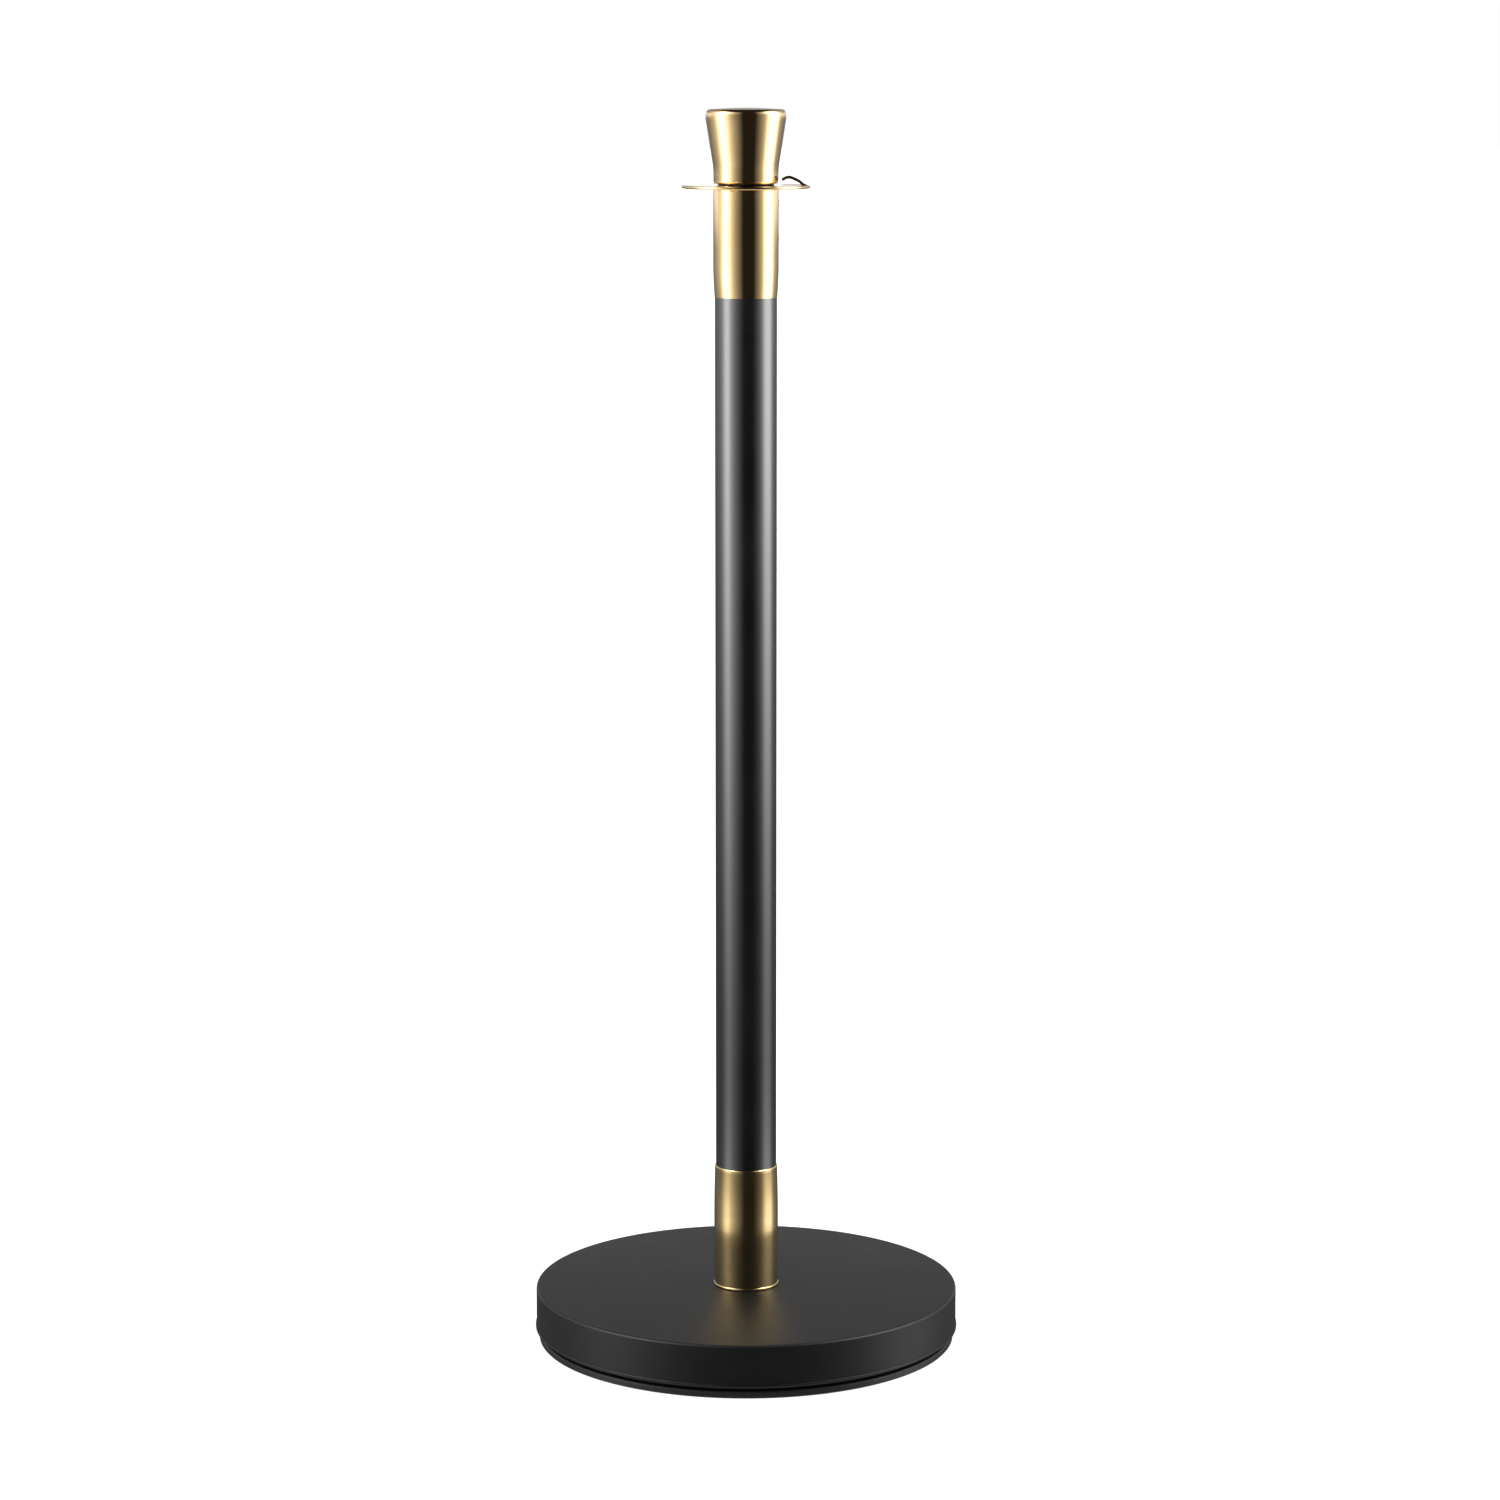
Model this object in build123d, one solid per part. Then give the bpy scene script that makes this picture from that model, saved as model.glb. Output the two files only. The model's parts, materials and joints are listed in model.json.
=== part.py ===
from build123d import *
from math import cos, sin, radians
import os

# Rope barrier post with a crown top. Millimetres, +Z up.
# Origin: centre of the foot ring's underside, on the axis of the post.
# The rope catch on the ring plate points along +X.

# ---- driving dimensions ----
overall_height = 1030.0
base_radius = 177.5
base_height = 45.0
tube_radius = 25.4
tube_wall = 1.5
sleeve_radius = 26.75
plate_radius = 52.5
crown_top_radius = 32.7

# ---- clearances ----
fit_gap = 0.05          # radial gap of a thread or a slip fit
loose_gap = 0.1         # radial gap of a washer on its bolt
turn_gap = 0.1          # axial play of the pieces that turn

# ---- foot ring and base weight ----
foot_radius = 175.0
foot_height = 6.0
foot_inner_radius = 150.0
foot_floor = 2.5        # thickness of rubber under the weight
foot_edge_radius = 2.0
foot_edge_chamfer = 0.8
weight_radius = 170.0
weight_edge_radius = 1.5
weight_web = 8.0
weight_rim = 6.0
hub_radius = 38.0
rib_count = 6
rib_width = 6.0
rib_top = 36.0
rib_overlap = 1.0       # how far a rib runs into the hub and into the rim
counterbore_radius = 17.0
counterbore_top = 19.0
cap_height = 9.0
cap_wall = 1.5
cap_floor = 0.9

# ---- base cover ----
cover_sheet = 1.2
cover_bottom = 10.0
cover_edge_radius = 2.3
hem_height = 2.4
hem_proud = 0.8
hem_edge_radius = 0.75
cover_underside = base_height - cover_sheet

# ---- base bolt ----
bolt_radius = 8.0
bolt_hole_radius = 8.5
bolt_head_height = 10.0
bolt_head_flats = 24.0
bolt_top = 66.0
washer_radius = 15.0
washer_thickness = 3.0
lock_washer_radius = 12.5
lock_washer_thickness = 2.5
lock_washer_split = 1.5

# ---- post ----
seat_thickness = 1.0
tube_bottom = base_height + seat_thickness
tube_top = 961.0
tube_bore = tube_radius - tube_wall
plug_radius = tube_bore - fit_gap
foot_plug_top = 72.0
foot_screw_height = 60.0
foot_screw_count = 3
foot_screw_first_angle = 30.0
foot_screw_radius = 2.5
foot_screw_length = 10.0
foot_screw_head_radius = 4.6
foot_screw_head_depth = 2.1
foot_screw_sunk = 0.5   # depth of the screw's face under the tube's surface

# ---- lower collar ----
collar_top = 149.0
collar_radius = 26.95
collar_shoulder_radius = 26.2
collar_taper_height = 41.0
collar_rim_height = 1.6
collar_top_wall = 0.15
bead_radius = 27.5
bead_proud = 0.7
bead_height = 2.4
bead_step = 0.6         # height of the slope between the bead and the plain side
slip_bore = tube_radius + fit_gap

# ---- upper sleeve and head plug ----
sleeve_bottom = 877.0
sleeve_top = 965.0
sleeve_curl_height = 26.0
sleeve_curl_radius = 25.6
sleeve_curl_middle = 26.4
sleeve_top_chamfer = 0.4
head_plug_bottom = 915.0
head_recess_radius = 18.0
head_recess_top = 945.0
set_screw_radius = 2.5
set_screw_heights = (925.0, 953.0)
set_screw_proud = 0.6
set_screw_end = 19.0        # how near the axis the screws reach
set_screw_hole_end = 15.0
set_screw_chamfer = 0.4
set_screw_socket = 2.5      # the hexagon's width and its depth

# ---- ring plate and its bush ----
plate_thickness = 2.5
plate_bottom = sleeve_top + turn_gap
plate_top = plate_bottom + plate_thickness
plate_edge_radius = 1.0
spigot_radius = 11.0
spigot_top = plate_top + 0.2
bush_radius = 14.0
rope_hole_radius = 6.0
rope_hole_circle = 42.0
rope_hole_angles = (120, 240)
catch_width = 15.0
catch_thickness = 2.3
window_inner = 29.5
window_outer = 46.5
window_side_gap = 1.0
window_corner_radius = 3.0

# ---- crown ----
crown_washer_radius = 23.0
crown_washer_thickness = 1.0
crown_bottom = spigot_top + crown_washer_thickness
crown_neck_radius = 26.5
crown_flare_start = 981.0
crown_flare_radius = 60.0
crown_lip_radius = 20.0
crown_rise = 1.7            # how far the middle of the top stands above its rim
crown_rim = overall_height - crown_rise
crown_edge_radius = 4.0
crown_foot_radius = 1.8
crown_lip = 7.3             # straight stretch between the flare and the rim
crown_wall = 2.0
crown_insert_top = crown_bottom + 13.0
stud_radius = 6.0
stud_bottom = 930.0
stud_top = 992.0
stud_chamfer = 1.0
stud_washer_radius = 10.5
stud_nut_flats = 18.0
stud_nut_height = 10.0


def ring(outer, inner, bottom, top):
    """A flat-ended ring about the Z axis, or a disc where the inner radius is 0."""
    height = top - bottom
    flat_down = (Align.CENTER, Align.CENTER, Align.MIN)
    solid = Cylinder(outer, height, align=flat_down)
    if inner > 0:
        solid -= Cylinder(inner, height, align=flat_down)
    return Pos(0, 0, bottom) * solid


def turned(outline):
    """A solid of revolution from a closed list of lines and arcs in the XZ plane."""
    return revolve(make_face(outline), Axis.Z)


def lines(*points):
    """Straight edges through (radius, height) points."""
    return [Line((a[0], 0, a[1]), (b[0], 0, b[1])) for a, b in zip(points, points[1:])]


def bend(start, middle, end):
    """An arc through three (radius, height) points."""
    return [ThreePointArc(*((point[0], 0, point[1]) for point in (start, middle, end)))]


def rim_edges(solid, radius, height):
    """The circular edges of one radius at one height."""
    return [
        edge
        for edge in solid.edges().filter_by(GeomType.CIRCLE)
        if abs(edge.radius - radius) < 0.01 and abs(edge.center().Z - height) < 0.01
    ]


def hexagon(across_flats, bottom, top):
    face = RegularPolygon(across_flats / 2, 6, major_radius=False)
    return Pos(0, 0, bottom) * extrude(face, top - bottom)


def radial(solid, angle, height):
    """Turn a solid that points along +Z so that it points outward at an angle."""
    return Rot(0, 0, angle) * Pos(0, 0, height) * Rot(0, 90, 0) * solid


# ---- base ----
def floor_ring():
    solid = ring(foot_radius, foot_inner_radius, 0, foot_height)
    solid -= ring(weight_radius + fit_gap, 0, foot_floor, foot_height)
    solid = fillet(rim_edges(solid, foot_radius, foot_height), foot_edge_radius)
    return chamfer(rim_edges(solid, foot_radius, 0), foot_edge_chamfer)


def base_weight():
    web_top = foot_floor + weight_web
    inside_rim = weight_radius - weight_rim
    solid = ring(weight_radius, 0, foot_floor, web_top)
    solid += ring(weight_radius, inside_rim, web_top, cover_underside)
    solid += ring(hub_radius, 0, web_top, cover_underside)
    rib_length = inside_rim - hub_radius + 2 * rib_overlap
    rib = Box(rib_length, rib_width, rib_top - web_top, align=(Align.MIN, Align.CENTER, Align.MIN))
    for step in range(rib_count):
        solid += Rot(0, 0, 360 / rib_count * step) * Pos(hub_radius - rib_overlap, 0, web_top) * rib
    solid -= ring(counterbore_radius, 0, foot_floor, counterbore_top)
    solid -= ring(bolt_hole_radius, 0, counterbore_top, cover_underside)
    return fillet(rim_edges(solid, weight_radius, cover_underside), weight_edge_radius)


def base_cover():
    outside = ring(base_radius, 0, cover_bottom, base_height)
    outside = fillet(rim_edges(outside, base_radius, base_height), cover_edge_radius)
    inner_radius = base_radius - cover_sheet
    inside = ring(inner_radius, 0, cover_bottom, cover_underside)
    inside = fillet(rim_edges(inside, inner_radius, cover_underside), cover_edge_radius - cover_sheet)
    hem_radius = base_radius + hem_proud
    hem = ring(hem_radius, inner_radius, cover_bottom, cover_bottom + hem_height)
    hem_edges = rim_edges(hem, hem_radius, cover_bottom)
    hem_edges += rim_edges(hem, hem_radius, cover_bottom + hem_height)
    solid = outside - inside + fillet(hem_edges, hem_edge_radius)
    return solid - ring(bolt_hole_radius, 0, cover_underside, base_height)


def bolt_cap():
    radius = counterbore_radius - loose_gap
    top = foot_floor + cap_height
    return ring(radius, 0, foot_floor, top) - ring(radius - cap_wall, 0, foot_floor + cap_floor, top)


head_top = counterbore_top - washer_thickness - lock_washer_thickness


def base_bolt():
    solid = hexagon(bolt_head_flats, head_top - bolt_head_height, head_top)
    return solid + ring(bolt_radius, 0, head_top, bolt_top)


def base_lock_washer():
    middle = Pos(lock_washer_radius, 0, head_top + lock_washer_thickness / 2)
    split = middle * Box(lock_washer_radius, lock_washer_split, 2 * lock_washer_thickness)
    solid = ring(lock_washer_radius, bolt_radius + loose_gap, head_top, head_top + lock_washer_thickness)
    return solid - split


def base_washer():
    return ring(washer_radius, bolt_hole_radius, counterbore_top - washer_thickness, counterbore_top)


# ---- post ----
def seat_washer():
    return ring(slip_bore - fit_gap, bolt_hole_radius, base_height, tube_bottom)


def foot_screw(clearance=0.0):
    """A countersunk screw along +Z, its head just under the tube's surface."""
    below = (Align.CENTER, Align.CENTER, Align.MAX)
    shank_radius = foot_screw_radius + clearance
    shank = Cylinder(shank_radius, foot_screw_length, align=below)
    head = Cone(shank_radius, foot_screw_head_radius + clearance, foot_screw_head_depth, align=below)
    return Pos(0, 0, tube_radius - foot_screw_sunk) * (shank + head)


def foot_screw_angles():
    return [360 / foot_screw_count * step + foot_screw_first_angle for step in range(foot_screw_count)]


def foot_screw_holes():
    entry = Cylinder(foot_screw_head_radius + fit_gap, 2 * foot_screw_sunk)
    cutter = foot_screw(fit_gap) + Pos(0, 0, tube_radius) * entry
    return [radial(cutter, angle, foot_screw_height) for angle in foot_screw_angles()]


def foot_plug_screws():
    return Compound([radial(foot_screw(), angle, foot_screw_height) for angle in foot_screw_angles()])


def set_screw_holes():
    depth = sleeve_radius + 2 - set_screw_hole_end
    cutter = Cylinder(set_screw_radius + fit_gap, depth, align=(Align.CENTER, Align.CENTER, Align.MIN))
    cutter = Pos(0, 0, set_screw_hole_end) * cutter
    return [radial(cutter, 0, height) for height in set_screw_heights]


def sleeve_set_screws():
    length = sleeve_radius + set_screw_proud - set_screw_end
    screw = Cylinder(set_screw_radius, length, align=(Align.CENTER, Align.CENTER, Align.MIN))
    screw = Pos(0, 0, set_screw_end) * screw
    end = screw.faces().sort_by(Axis.Z)[-1]
    screw = chamfer(end.edges(), set_screw_chamfer)
    socket = extrude(RegularPolygon(set_screw_socket / 2, 6, major_radius=False), set_screw_socket)
    screw -= Pos(0, 0, set_screw_end + length - set_screw_socket) * socket
    return Compound([radial(screw, 0, height) for height in set_screw_heights])


def post_tube():
    solid = ring(tube_radius, tube_bore, tube_bottom, tube_top)
    for hole in foot_screw_holes() + set_screw_holes():
        solid -= hole
    return solid


def foot_plug():
    solid = ring(plug_radius, bolt_radius + fit_gap, tube_bottom, foot_plug_top)
    for hole in foot_screw_holes():
        solid -= hole
    return solid


def lower_collar():
    bottom = base_height
    bead_root = bead_radius - bead_proud
    bead_top = bottom + bead_height
    taper_start = collar_top - collar_taper_height
    rim_start = collar_top - collar_rim_height
    taper_middle = (collar_radius - 0.25, (taper_start + rim_start) / 2)
    rim_middle = (collar_shoulder_radius - 0.2, collar_top - 0.5)
    rim_end = (slip_bore + collar_top_wall, collar_top)
    outline = bend((bead_root, bottom), (bead_radius, bottom + bead_height / 2), (bead_root, bead_top))
    side = [(collar_radius, bead_top + bead_step), (collar_radius, taper_start)]
    outline += lines((bead_root, bead_top), *side)
    outline += bend((collar_radius, taper_start), taper_middle, (collar_shoulder_radius, rim_start))
    outline += bend((collar_shoulder_radius, rim_start), rim_middle, rim_end)
    outline += lines(rim_end, (slip_bore, collar_top), (slip_bore, bottom), (bead_root, bottom))
    return turned(outline)


def upper_sleeve():
    curl_top = sleeve_bottom + sleeve_curl_height
    curl_middle = (sleeve_curl_middle, (sleeve_bottom + curl_top) / 2)
    outline = bend((sleeve_curl_radius, sleeve_bottom), curl_middle, (sleeve_radius, curl_top))
    outline += lines(
        (sleeve_radius, curl_top),
        (sleeve_radius, sleeve_top - sleeve_top_chamfer),
        (sleeve_radius - sleeve_top_chamfer, sleeve_top),
        (slip_bore, sleeve_top),
        (slip_bore, sleeve_bottom),
        (sleeve_curl_radius, sleeve_bottom),
    )
    solid = turned(outline)
    for hole in set_screw_holes():
        solid -= hole
    return solid


# ---- head ----
def head_plug():
    solid = ring(plug_radius, 0, head_plug_bottom, tube_top)
    solid += ring(tube_radius - fit_gap, 0, tube_top, sleeve_top)
    solid += ring(spigot_radius, 0, sleeve_top, spigot_top)
    solid -= ring(head_recess_radius, 0, head_plug_bottom, head_recess_top)
    solid -= ring(stud_radius + fit_gap, 0, head_recess_top, spigot_top)
    for hole in set_screw_holes():
        solid -= hole
    return solid


def crown_stud():
    solid = ring(stud_radius, 0, stud_bottom, stud_top)
    return chamfer(rim_edges(solid, stud_radius, stud_top), stud_chamfer)


def stud_lock_washer():
    bottom = head_recess_top - lock_washer_thickness
    return ring(stud_washer_radius, stud_radius + loose_gap, bottom, head_recess_top)


def stud_lock_nut():
    top = head_recess_top - lock_washer_thickness
    bottom = top - stud_nut_height
    return hexagon(stud_nut_flats, bottom, top) - ring(stud_radius + fit_gap, 0, bottom, top)


def plate_bush():
    return ring(bush_radius - fit_gap, spigot_radius + fit_gap, plate_bottom, plate_top)


def rope_catch():
    """The tongue that rises from the rim, arches over its window and ends beside the crown."""
    rises = [(50.0, -1.25), (46.6, 0.4), (43.4, 3.0), (39.2, 5.1), (35.4, 6.4), (32.0, 5.8), (29.2, 4.2)]
    points = [(across, 0, plate_top + rise) for across, rise in rises]
    centre_line = Spline(*points, tangents=[(-1, 0, 0.15), (-0.8, 0, -0.6)])
    sides = {1: [], -1: []}
    samples = 15
    for step in range(samples):
        along = step / (samples - 1)
        place = centre_line @ along
        direction = centre_line % along
        for side, line in sides.items():
            offset = side * catch_thickness / 2
            line.append((place.X - direction.Z * offset, 0, place.Z + direction.X * offset))
    outline = [
        Spline(*sides[1]),
        Line(sides[1][-1], sides[-1][-1]),
        Spline(*sides[-1]),
        Line(sides[-1][0], sides[1][0]),
    ]
    return extrude(make_face(outline), catch_width / 2, dir=(0, 1, 0), both=True)


def ring_plate():
    solid = ring(plate_radius, bush_radius, plate_bottom, plate_top)
    edges = rim_edges(solid, plate_radius, plate_top) + rim_edges(solid, plate_radius, plate_bottom)
    solid = fillet(edges, plate_edge_radius)
    window_width = catch_width + 2 * window_side_gap
    window = Box(window_outer - window_inner, window_width, 4 * plate_thickness)
    window = fillet(window.edges().filter_by(Axis.Z), window_corner_radius)
    solid -= Pos((window_inner + window_outer) / 2, 0, plate_bottom) * window
    solid += rope_catch()
    for angle in rope_hole_angles:
        spot = Pos(rope_hole_circle * cos(radians(angle)), rope_hole_circle * sin(radians(angle)), 0)
        solid -= spot * ring(rope_hole_radius, 0, plate_bottom, plate_top)
    return solid


# ---- crown ----
def crown_washer():
    return ring(crown_washer_radius, stud_radius + loose_gap, spigot_top, crown_bottom)


def crown_shell():
    flare_end = crown_rim - crown_lip
    outline = lines(
        (0, overall_height),
        (0, crown_bottom),
        (crown_neck_radius, crown_bottom),
        (crown_neck_radius, crown_flare_start),
        (crown_top_radius, flare_end),
        (crown_top_radius, crown_rim),
    )
    dome_radius = (crown_top_radius ** 2 + crown_rise ** 2) / (2 * crown_rise)
    half_way = crown_top_radius / 2
    half_drop = dome_radius - (dome_radius ** 2 - half_way ** 2) ** 0.5
    dome_middle = (half_way, overall_height - half_drop)
    outline += bend((crown_top_radius, crown_rim), dome_middle, (0, overall_height))
    solid = turned(outline)
    solid = fillet(rim_edges(solid, crown_neck_radius, crown_flare_start), crown_flare_radius)
    solid = fillet(rim_edges(solid, crown_top_radius, flare_end), crown_lip_radius)
    solid = fillet(rim_edges(solid, crown_top_radius, crown_rim), crown_edge_radius)
    solid = fillet(rim_edges(solid, crown_neck_radius, crown_bottom), crown_foot_radius)
    bore = crown_neck_radius - crown_wall
    inside_top = crown_rim - crown_wall
    inside = lines(
        (0, crown_bottom),
        (bore, crown_bottom),
        (bore, crown_flare_start + 2),
        (crown_top_radius - 2 * crown_wall, inside_top),
        (0, inside_top),
        (0, crown_bottom),
    )
    return solid - turned(inside)


def crown_insert():
    radius = crown_neck_radius - crown_wall - fit_gap
    return ring(radius, stud_radius + fit_gap, crown_bottom, crown_insert_top)


pieces = {
    "floor_ring": floor_ring,
    "base_weight": base_weight,
    "base_cover": base_cover,
    "bolt_cap": bolt_cap,
    "base_bolt": base_bolt,
    "base_lock_washer": base_lock_washer,
    "base_washer": base_washer,
    "seat_washer": seat_washer,
    "foot_plug": foot_plug,
    "foot_plug_screws": foot_plug_screws,
    "post_tube": post_tube,
    "lower_collar": lower_collar,
    "upper_sleeve": upper_sleeve,
    "sleeve_set_screws": sleeve_set_screws,
    "head_plug": head_plug,
    "crown_stud": crown_stud,
    "stud_lock_washer": stud_lock_washer,
    "stud_lock_nut": stud_lock_nut,
    "plate_bush": plate_bush,
    "ring_plate": ring_plate,
    "crown_washer": crown_washer,
    "crown_shell": crown_shell,
    "crown_insert": crown_insert,
}

os.makedirs("parts", exist_ok=True)
for name, make in pieces.items():
    export_step(make(), f"parts/{name}.step")
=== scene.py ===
import json
import math

import bmesh
import bpy
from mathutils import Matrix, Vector


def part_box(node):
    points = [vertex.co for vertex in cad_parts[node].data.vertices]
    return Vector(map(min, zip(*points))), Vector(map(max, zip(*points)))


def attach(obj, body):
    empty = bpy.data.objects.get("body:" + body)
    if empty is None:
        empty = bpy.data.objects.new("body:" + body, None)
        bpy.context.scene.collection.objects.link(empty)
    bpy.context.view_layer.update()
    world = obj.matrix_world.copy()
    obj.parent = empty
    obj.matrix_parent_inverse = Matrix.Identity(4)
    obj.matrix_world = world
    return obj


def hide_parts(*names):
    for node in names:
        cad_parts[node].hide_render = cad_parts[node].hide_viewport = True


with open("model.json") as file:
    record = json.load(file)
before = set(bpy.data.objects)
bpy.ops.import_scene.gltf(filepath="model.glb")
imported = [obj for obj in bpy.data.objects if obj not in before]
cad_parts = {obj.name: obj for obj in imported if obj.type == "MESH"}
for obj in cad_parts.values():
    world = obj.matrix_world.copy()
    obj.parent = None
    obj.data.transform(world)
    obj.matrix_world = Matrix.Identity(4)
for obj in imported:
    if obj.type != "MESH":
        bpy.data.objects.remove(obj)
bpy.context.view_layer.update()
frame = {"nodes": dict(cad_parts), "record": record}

# A rope barrier post with a crown top. Every length is in metres, in the frame of the CAD model.
MM = 0.001
ROUND = 256             # facets of a turned piece
SLIP = 0.05 * MM        # radial gap of two pieces that slide together

# ---- camera ----
CAMERA_PLACE = (0.0033, -3.457, 1.0831)
CAMERA_TILT = 9.531     # degrees down from level
LENS_MM = 101.4         # on a sensor 36 mm wide

# ---- studio ----
BOX_LIGHT = 6.0         # radiance of the brightest part of the soft boxes, beside 1 for white paper
BOX_DISTANCE = 1.3      # from the axis of the post
BOX_TOP = 2.6
BOX_BOTTOM = -0.8       # below the floor, for the boxes' image in it
# Brightness of each box at degrees round the post from the camera towards +X.
LEFT_BOX = (
    (-150, 0.0), (-131, 0.04), (-112, 0.13), (-100, 0.27), (-90, 0.55), (-80, 1.0),
    (-67, 1.0), (-59, 0.5), (-47, 0.25), (-35, 0.12), (-22, 0.05), (-10, 0.0),
)
RIGHT_BOX = (
    (28, 0.0), (40, 0.05), (48, 0.1), (56, 0.16), (63, 0.32), (70, 0.65), (77, 0.97),
    (96, 1.0), (104, 0.72), (111, 0.34), (119, 0.12), (134, 0.04), (150, 0.0),
)
# Brightness of both boxes at heights from just above the floor.
BOX_HEIGHTS = (
    (0.22, 0.18), (0.45, 0.32), (0.62, 0.46), (0.8, 0.5), (1.05, 0.5), (1.4, 1.0), (BOX_TOP, 0.5),
)
# A dim card low down between the left box and the camera, by degrees and by height.
LOW_CARD_DISTANCE = 1.2
LOW_CARD = ((-78, 0.0), (-66, 0.7), (-56, 1.0), (-42, 0.65), (-30, 0.4), (-18, 0.18), (-6, 0.0))
LOW_CARD_HEIGHTS = (
    (-0.3, 0.0), (-0.25, 0.065), (-0.19, 0.065), (-0.15, 0.02), (-0.09, 0.03), (0.0, 0.04),
    (0.23, 0.06), (0.46, 0.065), (0.64, 0.025), (0.78, 0.0),
)


# ---- where the CAD pieces are ----
def reach(node):
    """Outer radius, bottom and top of a CAD node that stands on the axis of the post."""
    vertices = frame["nodes"][node].data.vertices
    radius = max(math.hypot(v.co.x, v.co.y) for v in vertices)
    low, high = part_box(node)
    return radius, low.z, high.z


def bore(node):
    """Inner radius of a CAD node that stands on the axis of the post."""
    return min(math.hypot(v.co.x, v.co.y) for v in frame["nodes"][node].data.vertices)


# ---- camera: the photograph's viewing angle ----
def add_camera():
    data = bpy.data.cameras.new("camera")
    data.lens = LENS_MM
    data.sensor_width = 36.0
    camera = bpy.data.objects.new("camera", data)
    camera.location = CAMERA_PLACE
    camera.rotation_euler = (math.radians(90 - CAMERA_TILT), 0.0, 0.0)
    bpy.context.scene.collection.objects.link(camera)
    bpy.context.scene.camera = camera


# ---- node helpers ----
class Nodes:
    """Adds shader nodes to one node tree and links them."""

    def __init__(self, tree):
        self.tree = tree
        self.tree.nodes.clear()

    def add(self, kind, inputs=None, **settings):
        node = self.tree.nodes.new(kind)
        for name, value in settings.items():
            setattr(node, name, value)
        for name, value in (inputs or {}).items():
            self.feed(node.inputs[name], value)
        return node

    def feed(self, socket, value):
        if isinstance(value, bpy.types.NodeSocket):
            self.tree.links.new(value, socket)
        else:
            socket.default_value = value

    def math(self, operation, *values):
        inputs = dict(enumerate(values))
        return self.add("ShaderNodeMath", inputs, operation=operation).outputs[0]

    def ramp(self, value, stops):
        """Grey levels along a value from 0 to 1, straight between its stops."""
        node = self.add("ShaderNodeValToRGB", {"Fac": value})
        elements = node.color_ramp.elements
        while len(elements) < len(stops):
            elements.new(0.5)
        for element, (position, level) in zip(elements, stops):
            element.position = position
            element.color = (level, level, level, 1.0)
        return node.outputs["Color"]

    def noise(self, vector, scale, detail=3.0, roughness=0.5):
        inputs = {"Vector": vector, "Scale": scale, "Detail": detail, "Roughness": roughness}
        return self.add("ShaderNodeTexNoise", inputs).outputs["Fac"]

    def spread(self, value, low, high):
        """Noise from about 0.3 to 0.7, spread from low to high."""
        inputs = {"Value": value, "From Min": 0.3, "From Max": 0.7, "To Min": low, "To Max": high}
        return self.add("ShaderNodeMapRange", inputs).outputs["Result"]


def new_material(name):
    material = bpy.data.materials.new(name)
    material.use_nodes = True
    nodes = Nodes(material.node_tree)
    shader = nodes.add("ShaderNodeBsdfPrincipled")
    output = nodes.add("ShaderNodeOutputMaterial")
    nodes.tree.links.new(shader.outputs["BSDF"], output.inputs["Surface"])
    return material, nodes, shader


def place(nodes):
    """Coordinates that stay with the piece as it moves."""
    return nodes.add("ShaderNodeTexCoord").outputs["Object"]


def turned_place(nodes):
    """Coordinates that change only with radius and height, as lathe marks do."""
    split = nodes.add("ShaderNodeSeparateXYZ", {"Vector": place(nodes)})
    across = nodes.add("ShaderNodeCombineXYZ", {"X": split.outputs["X"], "Y": split.outputs["Y"]})
    radius = nodes.add("ShaderNodeVectorMath", {0: across.outputs[0]}, operation="LENGTH")
    inputs = {"X": radius.outputs["Value"], "Y": split.outputs["Z"]}
    return nodes.add("ShaderNodeCombineXYZ", inputs).outputs[0]


def shade(nodes, low, high, factor):
    """A mix of two colours by a factor."""
    mix = nodes.add("ShaderNodeMix", data_type="RGBA")
    nodes.feed(mix.inputs["Factor"], factor)
    nodes.feed(mix.inputs["A"], (*low, 1.0))
    nodes.feed(mix.inputs["B"], (*high, 1.0))
    return mix.outputs["Result"]


def bump(nodes, shader, height, strength, distance):
    inputs = {"Height": height, "Strength": strength, "Distance": distance}
    nodes.feed(shader.inputs["Normal"], nodes.add("ShaderNodeBump", inputs).outputs["Normal"])


# ---- materials ----
def gold(name, pale, deep, smooth, rough, marks):
    """Lacquered gold plate: faint lathe marks round the axis and hand smears that dull it a little."""
    material, nodes, shader = new_material(name)
    smear = nodes.noise(place(nodes), scale=35.0, detail=4.0)
    rings = nodes.noise(turned_place(nodes), scale=1800.0, detail=2.0)
    nodes.feed(shader.inputs["Base Color"], shade(nodes, deep, pale, nodes.spread(smear, 0.0, 1.0)))
    dull = nodes.math("ADD", nodes.spread(smear, smooth, rough), nodes.spread(rings, 0.0, marks))
    nodes.feed(shader.inputs["Roughness"], dull)
    shader.inputs["Metallic"].default_value = 1.0
    shader.inputs["Coat Weight"].default_value = 1.0
    shader.inputs["Coat Roughness"].default_value = 0.08
    bump(nodes, shader, rings, strength=0.04, distance=0.02 * MM)
    return material


def powder_coat():
    """Fine satin powder coat with its slight orange peel."""
    material, nodes, shader = new_material("powder_coat")
    peel = nodes.noise(place(nodes), scale=900.0, detail=2.0)
    cloud = nodes.noise(place(nodes), scale=14.0, detail=3.0)
    tint = shade(nodes, (0.002, 0.0021, 0.0022), (0.0035, 0.0036, 0.0037), nodes.spread(cloud, 0.0, 1.0))
    nodes.feed(shader.inputs["Base Color"], tint)
    nodes.feed(shader.inputs["Roughness"], nodes.spread(cloud, 0.41, 0.45))
    shader.inputs["IOR"].default_value = 1.6
    bump(nodes, shader, peel, strength=0.12, distance=0.05 * MM)
    return material


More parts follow.
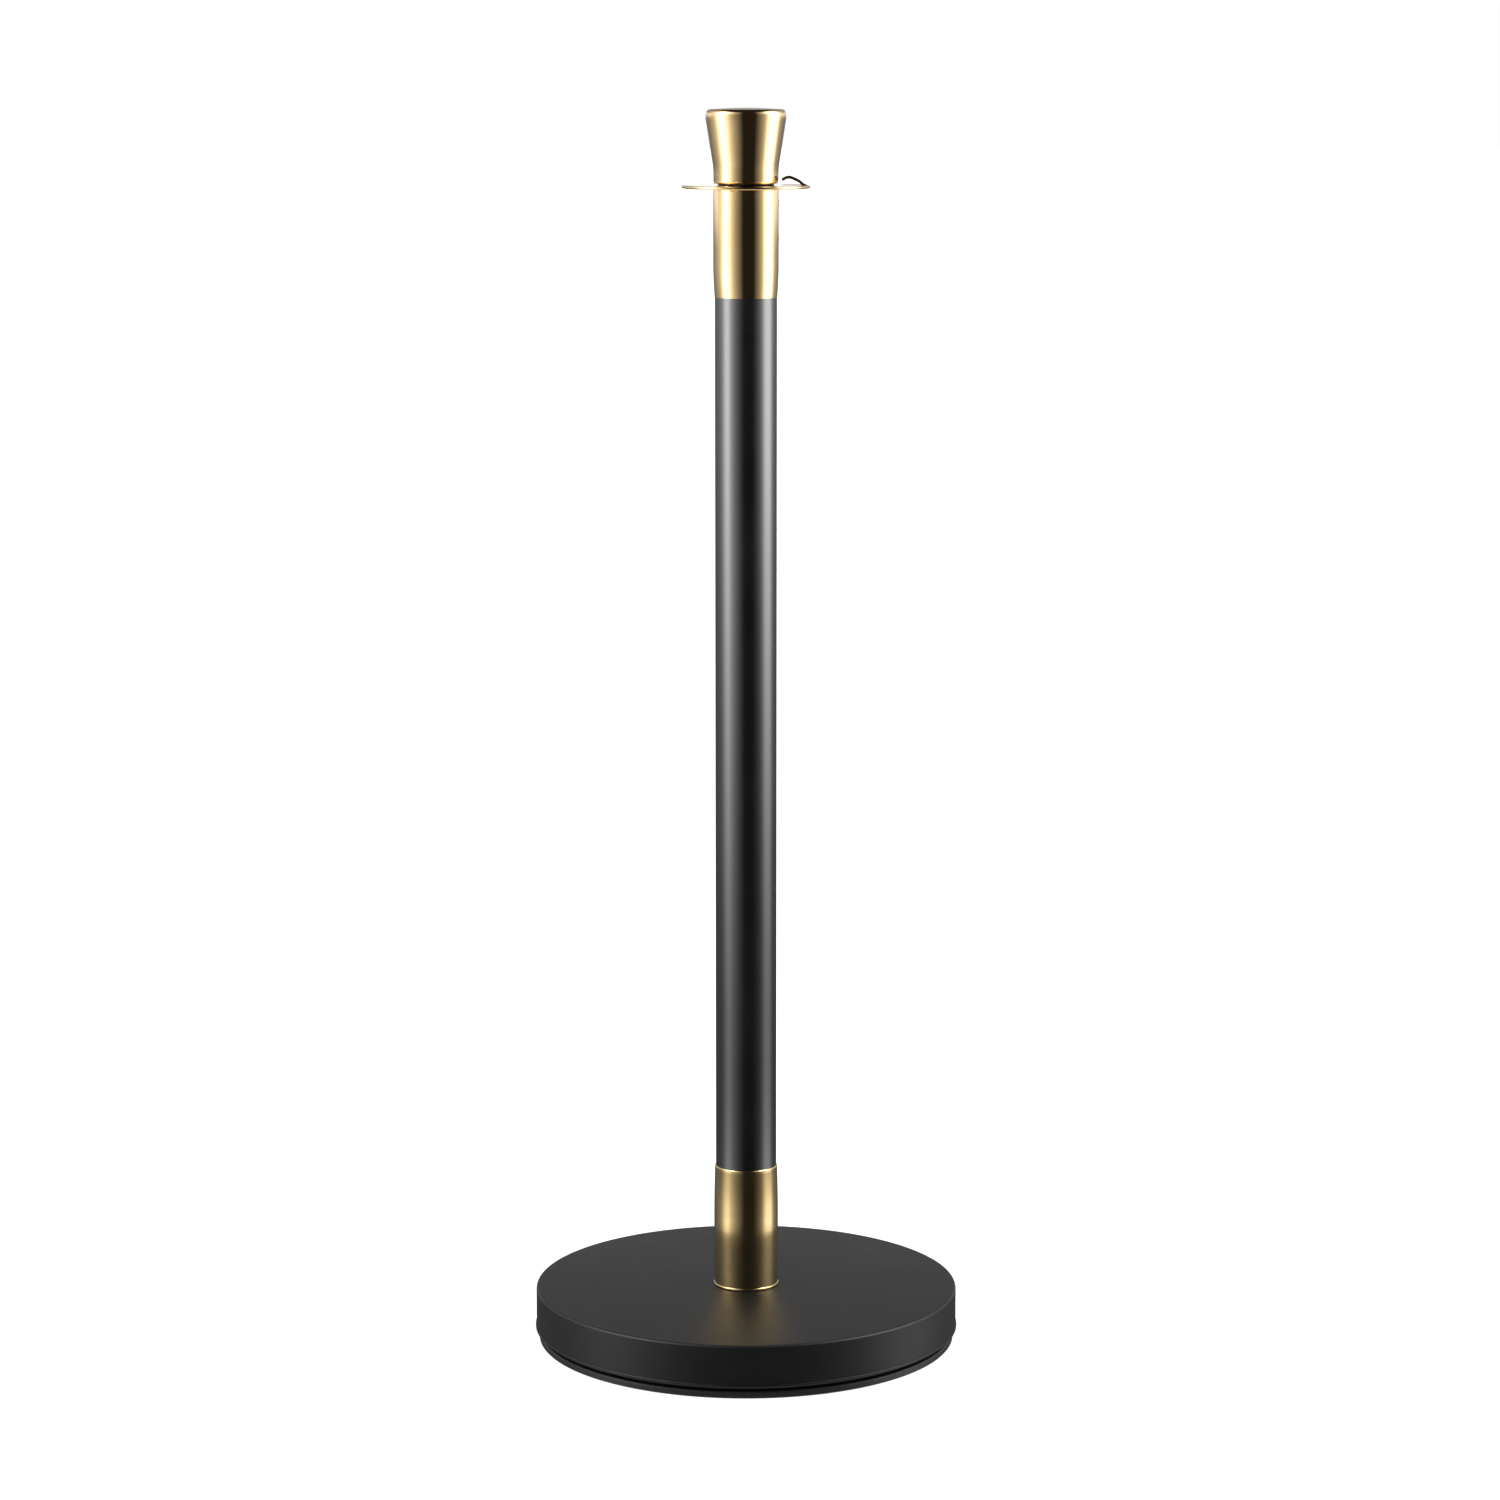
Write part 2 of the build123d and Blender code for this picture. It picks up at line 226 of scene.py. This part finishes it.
def tube_paint():
    """Smooth satin black, with a sheen broad enough to blur the studio lights."""
    material, nodes, shader = new_material("tube_paint")
    grain = nodes.noise(place(nodes), scale=1600.0, detail=2.0)
    cloud = nodes.noise(place(nodes), scale=18.0, detail=3.0)
    tint = shade(nodes, (0.002, 0.0021, 0.0021), (0.004, 0.0041, 0.0041), nodes.spread(cloud, 0.0, 1.0))
    nodes.feed(shader.inputs["Base Color"], tint)
    nodes.feed(shader.inputs["Roughness"], nodes.spread(cloud, 0.20, 0.23))
    shader.inputs["IOR"].default_value = 2.6
    bump(nodes, shader, grain, strength=0.05, distance=0.02 * MM)
    return material


def rubber():
    material, nodes, shader = new_material("rubber")
    grain = nodes.noise(place(nodes), scale=700.0, detail=4.0)
    tint = shade(nodes, (0.012, 0.012, 0.012), (0.02, 0.02, 0.02), nodes.spread(grain, 0.0, 1.0))
    nodes.feed(shader.inputs["Base Color"], tint)
    nodes.feed(shader.inputs["Roughness"], nodes.spread(grain, 0.3, 0.42))
    bump(nodes, shader, grain, strength=0.1, distance=0.05 * MM)
    return material


def nylon():
    material, nodes, shader = new_material("nylon")
    grain = nodes.noise(place(nodes), scale=500.0, detail=3.0)
    tint = shade(nodes, (0.01, 0.01, 0.01), (0.016, 0.016, 0.016), nodes.spread(grain, 0.0, 1.0))
    nodes.feed(shader.inputs["Base Color"], tint)
    nodes.feed(shader.inputs["Roughness"], nodes.spread(grain, 0.4, 0.5))
    bump(nodes, shader, grain, strength=0.08, distance=0.05 * MM)
    return material


def zinc_steel():
    """Turned steel under bright zinc, cloudy as plating is."""
    material, nodes, shader = new_material("zinc_steel")
    cloud = nodes.noise(place(nodes), scale=120.0, detail=5.0)
    rings = nodes.noise(turned_place(nodes), scale=1500.0, detail=2.0)
    tint = shade(nodes, (0.45, 0.46, 0.47), (0.62, 0.63, 0.63), nodes.spread(cloud, 0.0, 1.0))
    nodes.feed(shader.inputs["Base Color"], tint)
    nodes.feed(shader.inputs["Roughness"], nodes.spread(cloud, 0.25, 0.4))
    shader.inputs["Metallic"].default_value = 1.0
    bump(nodes, shader, rings, strength=0.15, distance=0.03 * MM)
    return material


def cast_iron():
    """Sand-cast iron under a thin coat of dark primer."""
    material, nodes, shader = new_material("cast_iron")
    sand = nodes.noise(place(nodes), scale=420.0, detail=6.0, roughness=0.65)
    cloud = nodes.noise(place(nodes), scale=25.0, detail=4.0)
    tint = shade(nodes, (0.016, 0.016, 0.017), (0.035, 0.034, 0.033), nodes.spread(cloud, 0.0, 1.0))
    nodes.feed(shader.inputs["Base Color"], tint)
    nodes.feed(shader.inputs["Roughness"], nodes.spread(sand, 0.55, 0.8))
    bump(nodes, shader, sand, strength=0.5, distance=0.4 * MM)
    return material


def light_table():
    """White translucent floor, lit from below so that shadows on it nearly vanish."""
    material, nodes, shader = new_material("light_table")
    grain = nodes.noise(place(nodes), scale=90.0, detail=3.0)
    tint = shade(nodes, (0.40, 0.40, 0.40), (0.42, 0.42, 0.42), nodes.spread(grain, 0.0, 1.0))
    nodes.feed(shader.inputs["Base Color"], tint)
    shader.inputs["Roughness"].default_value = 0.9
    shader.inputs["Specular IOR Level"].default_value = 0.0
    shader.inputs["Emission Color"].default_value = (1.0, 1.0, 1.0, 1.0)
    shader.inputs["Emission Strength"].default_value = 0.85
    return material


# ---- meshes ----
def arc(centre, radius, start, end, steps=8):
    """Points of an arc in the plane of radius and height, its angles in degrees from outward."""
    angles = [math.radians(start + (end - start) * step / steps) for step in range(steps + 1)]
    return [(centre[0] + radius * math.cos(a), centre[1] + radius * math.sin(a)) for a in angles]


def bow(start, middle, end, steps=16):
    """Points of the arc through three points."""
    (ax, ay), (bx, by), (cx, cy) = start, middle, end
    double = 2 * (ax * (by - cy) + bx * (cy - ay) + cx * (ay - by))
    a, b, c = ax * ax + ay * ay, bx * bx + by * by, cx * cx + cy * cy
    x = (a * (by - cy) + b * (cy - ay) + c * (ay - by)) / double
    y = (a * (cx - bx) + b * (ax - cx) + c * (bx - ax)) / double
    first = math.degrees(math.atan2(ay - y, ax - x))
    last = math.degrees(math.atan2(cy - y, cx - x))
    turn = (last - first + 180) % 360 - 180
    return arc((x, y), math.hypot(ax - x, ay - y), first, first + turn, steps)


def corner(before, point, after, radius, steps=8):
    """Points of the arc that rounds off one corner of an outline."""
    before, point, after = Vector(before), Vector(point), Vector(after)
    back, ahead = (before - point).normalized(), (after - point).normalized()
    half = back.angle(ahead) / 2
    centre = point + (back + ahead).normalized() * radius / math.sin(half)
    nearest = centre + (point - centre).normalized() * radius
    tangent = radius / math.tan(half)
    return bow(point + back * tangent, nearest, point + ahead * tangent, steps)


def finish_mesh(name, mesh, material, body, slot, *nodes):
    """Shade a mesh smooth except at its corners, and hang it in place of its CAD nodes."""
    for polygon in mesh.polygons:
        polygon.use_smooth = True
    mesh.set_sharp_from_angle(angle=math.radians(35))
    mesh.materials.clear()
    mesh.materials.append(material)
    piece = bpy.data.objects.new(name, mesh)
    bpy.context.scene.collection.objects.link(piece)
    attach(piece, body)
    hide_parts(*nodes)
    return piece


def lathe(name, outline):
    """A closed mesh turned about the axis from a closed outline of (radius, height) points."""
    work = bmesh.new()
    rings = []
    for radius, height in outline:
        if radius < 1e-6:
            rings.append([work.verts.new((0, 0, height))] * ROUND)
            continue
        turn = [2 * math.pi * step / ROUND for step in range(ROUND)]
        rings.append([work.verts.new((radius * math.cos(t), radius * math.sin(t), height)) for t in turn])
    for first, second in zip(rings, rings[1:] + rings[:1]):
        for step in range(ROUND):
            after = (step + 1) % ROUND
            corners = [first[step], first[after], second[after], second[step]]
            distinct = list(dict.fromkeys(corners))
            if len(distinct) > 2:
                work.faces.new(distinct)
    bmesh.ops.recalc_face_normals(work, faces=work.faces)
    mesh = bpy.data.meshes.new(name)
    work.to_mesh(mesh)
    work.free()
    return mesh


# ---- base ----
def base_cover(material):
    hem_radius, bottom, top = reach("base_cover")
    sheet = 1.2 * MM
    wall = hem_radius - 0.8 * MM
    inside = wall - sheet
    edge = 2.3 * MM
    hem_round = 0.75 * MM
    hem_top = bottom + 2.4 * MM
    hole = bore("base_cover")
    outline = [(hole, top)]
    outline += arc((wall - edge, top - edge), edge, 90, 0, 12)
    outline += [(wall, hem_top)]
    outline += arc((hem_radius - hem_round, hem_top - hem_round), hem_round, 90, 0, 6)
    outline += arc((hem_radius - hem_round, bottom + hem_round), hem_round, 0, -90, 6)
    outline += [(inside, bottom)]
    outline += arc((wall - edge, top - edge), edge - sheet, 0, 90, 8)
    outline += [(hole, top - sheet)]
    mesh = lathe("base_cover_shell", outline)
    return finish_mesh("base_cover_shell", mesh, material, "stand", "black_powder_coat", "base_cover")


def floor_ring(material):
    radius, bottom, top = reach("floor_ring")
    inner = bore("floor_ring")
    weight_radius, weight_bottom, _ = reach("base_weight")
    lip = weight_radius + SLIP
    edge, chamfer = 2.0 * MM, 0.8 * MM
    outline = [(inner, bottom), (radius - chamfer, bottom), (radius, bottom + chamfer)]
    outline += arc((radius - edge, top - edge), edge, 0, 90, 10)
    outline += [(lip, top), (lip, weight_bottom), (inner, weight_bottom)]
    mesh = lathe("foot_ring", outline)
    return finish_mesh("foot_ring", mesh, material, "stand", "black_rubber", "floor_ring")


# ---- post ----
def post_tube(material):
    radius, bottom, top = reach("post_tube")
    wall = 1.5 * MM
    inner = radius - wall
    outline = [(inner, bottom), (radius, bottom), (radius, top), (inner, top)]
    mesh = lathe("tube", outline)
    return finish_mesh("tube", mesh, material, "stand", "black_tube_paint", "post_tube")


def lower_collar(material):
    """A collar with a fine bead at its foot, drawn in a little to its top rim."""
    bead_radius, bottom, top = reach("lower_collar")
    inner = bore("lower_collar")
    body = bead_radius - 0.55 * MM
    shoulder = bead_radius - 1.3 * MM
    bead_root = bead_radius - 0.7 * MM
    bead_top = bottom + 2.4 * MM
    taper, rim = top - 41 * MM, top - 1.6 * MM
    outline = [(inner, bottom)]
    outline += bow((bead_root, bottom), (bead_radius, bottom + 1.2 * MM), (bead_root, bead_top), 10)
    outline += [(body, bead_top + 0.6 * MM)]
    outline += bow((body, taper), (body - 0.25 * MM, (taper + rim) / 2), (shoulder, rim), 24)
    outline += bow((shoulder, rim), (shoulder - 0.2 * MM, top - 0.5 * MM), (inner + 0.15 * MM, top), 8)[1:]
    outline += [(inner, top)]
    mesh = lathe("collar", outline)
    return finish_mesh("collar", mesh, material, "stand", "satin_gold", "lower_collar")


def upper_sleeve(material):
    """A sleeve whose lower end curls in to the tube."""
    radius, bottom, top = reach("upper_sleeve")
    inner = reach("post_tube")[0] + SLIP
    edge = 0.4 * MM
    curl_height = 26 * MM
    curl_foot, curl_middle = 25.6 * MM, 26.4 * MM
    outline = [(inner, bottom)]
    outline += bow(
        (curl_foot, bottom), (curl_middle, bottom + curl_height / 2), (radius, bottom + curl_height), 24,
    )
    outline += arc((radius - edge, top - edge), edge, 0, 90, 5)
    outline += [(inner, top)]
    mesh = lathe("sleeve", outline)
    return finish_mesh("sleeve", mesh, material, "stand", "polished_gold", "upper_sleeve")


# ---- head ----
def closed_line(curve, points):
    line = curve.splines.new("POLY")
    line.points.add(len(points) - 1)
    for point, (x, y) in zip(line.points, points):
        point.co = (x, y, 0.0, 1.0)
    line.use_cyclic_u = True


def circle(x, y, radius, count):
    turn = [2 * math.pi * step / count for step in range(count)]
    return [(x + radius * math.cos(t), y + radius * math.sin(t)) for t in turn]


def rounded_box(low_x, high_x, half_y, radius):
    """Corner points of a rectangle about the X axis, its corners rounded."""
    corners = (
        (high_x - radius, half_y - radius, 0),
        (low_x + radius, half_y - radius, 90),
        (low_x + radius, radius - half_y, 180),
        (high_x - radius, radius - half_y, 270),
    )
    points = []
    for x, y, start in corners:
        points += arc((x, y), radius, start, start + 90, 8)
    return points


def plate_top_height():
    """Top of the flat plate, which the bush is as thick as."""
    return reach("plate_bush")[2]


def ring_plate(material):
    """The flat plate with a round edge, cut through for the bush, the catch's window and the ropes."""
    radius = reach("ring_plate")[0]
    _, bottom, top = reach("plate_bush")
    edge = 1.0 * MM
    window_inner, window_outer = 29.5 * MM, 46.5 * MM
    window_half_width, window_corner = 8.5 * MM, 3 * MM
    curve = bpy.data.curves.new("plate_outline", "CURVE")
    curve.dimensions = "2D"
    curve.fill_mode = "BOTH"
    closed_line(curve, circle(0, 0, radius, ROUND))
    closed_line(curve, circle(0, 0, bore("ring_plate"), 96))
    closed_line(curve, rounded_box(window_inner, window_outer, window_half_width, window_corner))
    for mount in frame["record"]["mounts"]:
        if mount["kind"] == "bore":
            x, y, _ = mount["pos_m"]
            closed_line(curve, circle(x, y, mount["dims"]["r_mm"] * MM, 64))
    curve.bevel_depth = edge
    curve.bevel_resolution = 5
    curve.offset = -edge
    curve.extrude = (top - bottom) / 2 - edge
    shape = bpy.data.objects.new("plate_outline", curve)
    bpy.context.scene.collection.objects.link(shape)
    bpy.context.view_layer.update()
    mesh = bpy.data.meshes.new_from_object(shape.evaluated_get(bpy.context.evaluated_depsgraph_get()))
    bpy.data.objects.remove(shape)
    for vertex in mesh.vertices:
        vertex.co.z += (top + bottom) / 2
    return finish_mesh("plate", mesh, material, "ring_plate", "polished_gold", "ring_plate")


def smooth_line(points, steps):
    """Points along a smooth line through the given ones (Catmull-Rom)."""
    ends = [points[0] * 2 - points[1]] + points + [points[-1] * 2 - points[-2]]
    line = []
    for before, start, end, after in zip(ends, ends[1:], ends[2:], ends[3:]):
        for step in range(steps):
            t = step / steps
            line.append(0.5 * (
                2 * start + (end - before) * t
                + (2 * before - 5 * start + 4 * end - after) * t ** 2
                + (3 * start - before - 3 * end + after) * t ** 3
            ))
    return line + [points[-1]]


def rope_catch(material):
    """The tongue that rises from the rim, arches over its window and ends beside the crown."""
    top = plate_top_height()
    rises = ((50.0, -1.25), (46.6, 0.4), (43.4, 3.0), (39.2, 5.1), (35.4, 6.4), (32.0, 5.8), (29.2, 4.2))
    route = smooth_line([Vector((x * MM, 0, top + rise * MM)) for x, rise in rises], 8)
    half_width, half_thick = 7.5 * MM, 1.15 * MM
    edge = 0.2 * MM
    work = bmesh.new()
    sections = []
    for index, point in enumerate(route):
        ahead = route[min(index + 1, len(route) - 1)] - route[max(index - 1, 0)]
        across = Vector((-ahead.z, 0, ahead.x)).normalized() * half_thick
        side = Vector((0, half_width, 0))
        corners = (across + side, side - across, -across - side, across - side)
        sections.append([work.verts.new(point + offset) for offset in corners])
    for first, second in zip(sections, sections[1:]):
        for step in range(4):
            after = (step + 1) % 4
            work.faces.new((first[step], first[after], second[after], second[step]))
    work.faces.new(sections[0])
    work.faces.new(sections[-1])
    bmesh.ops.recalc_face_normals(work, faces=work.faces)
    corner_edges = [line for line in work.edges if line.calc_face_angle(0) > math.radians(60)]
    bmesh.ops.bevel(work, geom=corner_edges, offset=edge, segments=3, profile=0.5, affect="EDGES")
    mesh = bpy.data.meshes.new("catch")
    work.to_mesh(mesh)
    work.free()
    return finish_mesh("catch", mesh, material, "ring_plate", "polished_gold", "ring_plate")


def crown(material):
    """A flared cup with a slightly domed top: straight neck, flare, upright lip, round rim, dome."""
    radius, bottom, top = reach("crown_shell")
    neck, wall = 26.5 * MM, 2.0 * MM
    edge, foot = 4.0 * MM, 1.8 * MM
    rise, lip_height = 1.7 * MM, 7.3 * MM
    neck_blend, lip_blend = 60 * MM, 20 * MM
    rim = top - rise
    flare_start = 981 * MM
    flare, lip = (neck, flare_start), (radius, rim - lip_height)
    dome = (radius ** 2 + rise ** 2) / (2 * rise)
    edge_height = math.sqrt((dome - edge) ** 2 - (radius - edge) ** 2)
    edge_end = math.degrees(math.atan2(edge_height, radius - edge))
    inside_top = rim - wall
    outline = [(neck - wall, bottom)]
    outline += arc((neck - foot, bottom + foot), foot, -90, 0, 6)
    outline += corner((neck, bottom), flare, lip, neck_blend)
    outline += corner(flare, lip, (radius, rim), lip_blend)
    outline += arc((radius - edge, top - dome + edge_height), edge, 0, edge_end, 12)
    outline += arc((0, top - dome), dome, edge_end, 90, 12)[1:]
    outline += [(0, inside_top), (radius - 2 * wall, inside_top), (neck - wall, flare_start + wall)]
    mesh = lathe("crown", outline)
    return finish_mesh("crown", mesh, material, "crown", "polished_gold", "crown_shell")


def plain_ring(name, node, material, body, slot):
    """A flat ring with slightly broken edges."""
    radius, bottom, top = reach(node)
    inner = bore(node)
    edge = 0.2 * MM
    outline = [(inner, bottom), (radius - edge, bottom), (radius, bottom + edge)]
    outline += [(radius, top - edge), (radius - edge, top), (inner, top)]
    return finish_mesh(name, lathe(name, outline), material, body, slot, node)


# ---- light ----
def around_post(nodes, direction):
    """The way round the post as 0 to 1, with 0.5 towards the camera, and the height."""
    split = nodes.add("ShaderNodeSeparateXYZ", {"Vector": direction})
    toward_camera = nodes.math("MULTIPLY", split.outputs["Y"], -1.0)
    azimuth = nodes.math("ARCTAN2", split.outputs["X"], toward_camera)
    return nodes.math("MULTIPLY_ADD", azimuth, 0.5 / math.pi, 0.5), split.outputs["Z"]


def by_azimuth(nodes, around, stops):
    """A light level by the degrees round the post from the camera towards +X."""
    return nodes.ramp(around, [(degrees / 360 + 0.5, level) for degrees, level in stops])


def add_world():
    """White past the object, a lit wall low behind it, and the pale floor seen from high up."""
    world = bpy.data.worlds.new("studio")
    bpy.context.scene.world = world
    world.use_nodes = True
    nodes = Nodes(world.node_tree)
    around, up = around_post(nodes, nodes.add("ShaderNodeTexCoord").outputs["Generated"])
    upward = nodes.math("MULTIPLY_ADD", nodes.math("ARCSINE", up), 1.0 / math.pi, 0.5)

    def by_elevation(*stops):
        return nodes.ramp(upward, [(degrees / 180 + 0.5, level) for degrees, level in stops])

    behind = by_azimuth(nodes, around, ((-125, 1.0), (-95, 0.0), (95, 0.0), (125, 1.0)))
    wall = by_elevation(
        (-25, 0.03), (-8, 0.12), (-4, 0.2), (-2, 0.22), (1, 0.95), (4, 1.0),
        (7, 0.4), (14, 0.3), (30, 0.25), (45, 0.1), (60, 0.0),
    )
    near_floor = by_elevation((-48, 1.0), (-36, 0.015))
    light = nodes.math("MULTIPLY_ADD", behind, wall, near_floor)
    seen = nodes.add("ShaderNodeBackground", {"Color": (1, 1, 1, 1), "Strength": 1.0})
    lit = nodes.add("ShaderNodeBackground", {"Color": (1, 1, 1, 1), "Strength": light})
    path = nodes.add("ShaderNodeLightPath")
    inputs = {0: path.outputs["Is Camera Ray"], 1: lit.outputs[0], 2: seen.outputs[0]}
    mix = nodes.add("ShaderNodeMixShader", inputs)
    output = nodes.add("ShaderNodeOutputWorld")
    nodes.tree.links.new(mix.outputs[0], output.inputs["Surface"])


def box_levels(low_level):
    """Brightness of a soft box by height, with its image in the floor below zero."""
    image = ((-0.42, low_level), (-0.34, 3 * low_level), (-0.22, 3 * low_level), (-0.17, low_level))
    return image + ((0.0, 1.1 * low_level),) + BOX_HEIGHTS


def soft_box_light(name, stops, levels):
    """Light that fades to the sides and to the foot of a soft box."""
    material = bpy.data.materials.new(name)
    material.use_nodes = True
    nodes = Nodes(material.node_tree)
    around, height = around_post(nodes, place(nodes))
    tall = BOX_TOP - BOX_BOTTOM
    above = nodes.math("DIVIDE", nodes.math("SUBTRACT", height, BOX_BOTTOM), tall)
    fade = nodes.ramp(above, [((z - BOX_BOTTOM) / tall, level) for z, level in levels])
    level = nodes.math("MULTIPLY", by_azimuth(nodes, around, stops), fade)
    light = nodes.math("MULTIPLY", level, BOX_LIGHT)
    glow = nodes.add("ShaderNodeEmission", {"Color": (1, 1, 1, 1), "Strength": light})
    clear = nodes.add("ShaderNodeBsdfTransparent")
    both = nodes.add("ShaderNodeAddShader", {0: glow.outputs[0], 1: clear.outputs[0]})
    output = nodes.add("ShaderNodeOutputMaterial")
    nodes.tree.links.new(both.outputs[0], output.inputs["Surface"])
    return material


def add_soft_box(name, distance, stops, levels):
    """A tall curved soft box beside the post, seen only in what reflects it."""
    first, last = stops[0][0], stops[-1][0]
    columns = 48
    work = bmesh.new()
    edges = []
    for step in range(columns + 1):
        azimuth = math.radians(first + (last - first) * step / columns)
        x, y = distance * math.sin(azimuth), -distance * math.cos(azimuth)
        edges.append([work.verts.new((x, y, z)) for z in (BOX_BOTTOM, BOX_TOP)])
    for left, right in zip(edges, edges[1:]):
        work.faces.new((left[0], right[0], right[1], left[1]))
    mesh = bpy.data.meshes.new(name)
    work.to_mesh(mesh)
    work.free()
    mesh.materials.append(soft_box_light(name, stops, levels))
    box = bpy.data.objects.new(name, mesh)
    bpy.context.scene.collection.objects.link(box)
    box.visible_camera = False
    box.visible_diffuse = False
    box.visible_shadow = False


def add_fill():
    """Broad light from above for the floor and the matt surfaces, kept out of the reflections."""
    data = bpy.data.lights.new("fill", "SUN")
    data.energy = 4.4
    data.angle = math.radians(120)
    fill = bpy.data.objects.new("fill", data)
    fill.location = (0.0, 0.0, BOX_TOP)
    fill.visible_glossy = False
    bpy.context.scene.collection.objects.link(fill)


def add_floor():
    half = 40.0
    mesh = bpy.data.meshes.new("floor")
    corners = [(-half, -half, 0), (half, -half, 0), (half, half, 0), (-half, half, 0)]
    mesh.from_pydata(corners, [], [(0, 1, 2, 3)])
    mesh.materials.append(light_table())
    floor = bpy.data.objects.new("floor", mesh)
    bpy.context.scene.collection.objects.link(floor)
    floor.visible_glossy = False


# ---- assembly ----
def repaint(material, *nodes):
    """Give CAD nodes whose shape is right their finished material."""
    for node in nodes:
        mesh = frame["nodes"][node].data
        mesh.materials.clear()
        mesh.materials.append(material)


def main():
    add_camera()
    add_world()
    add_soft_box("left_soft_box", BOX_DISTANCE, LEFT_BOX, box_levels(0.07))
    add_soft_box("right_soft_box", BOX_DISTANCE, RIGHT_BOX, box_levels(0.085))
    add_soft_box("low_card", LOW_CARD_DISTANCE, LOW_CARD, LOW_CARD_HEIGHTS)
    add_fill()
    add_floor()
    bpy.context.scene.view_settings.view_transform = "Standard"

    bright_gold = gold("polished_gold", (0.94, 0.67, 0.33), (0.90, 0.62, 0.28), 0.07, 0.11, 0.03)
    soft_gold = gold("satin_gold", (0.90, 0.66, 0.30), (0.86, 0.61, 0.26), 0.12, 0.17, 0.05)
    black_nylon = nylon()
    steel = zinc_steel()
    base_cover(powder_coat())
    floor_ring(rubber())
    post_tube(tube_paint())
    lower_collar(soft_gold)
    upper_sleeve(bright_gold)
    ring_plate(bright_gold)
    rope_catch(bright_gold)
    crown(bright_gold)
    plain_ring("nylon_washer", "crown_washer", black_nylon, "crown_washer", "black_plastic")
    repaint(cast_iron(), "base_weight")
    repaint(black_nylon, "bolt_cap", "seat_washer", "plate_bush")
    repaint(bright_gold, "sleeve_set_screws")
    repaint(
        steel, "base_bolt", "base_lock_washer", "base_washer", "foot_plug", "foot_plug_screws",
        "head_plug", "crown_stud", "stud_lock_washer", "stud_lock_nut", "crown_insert",
    )


main()
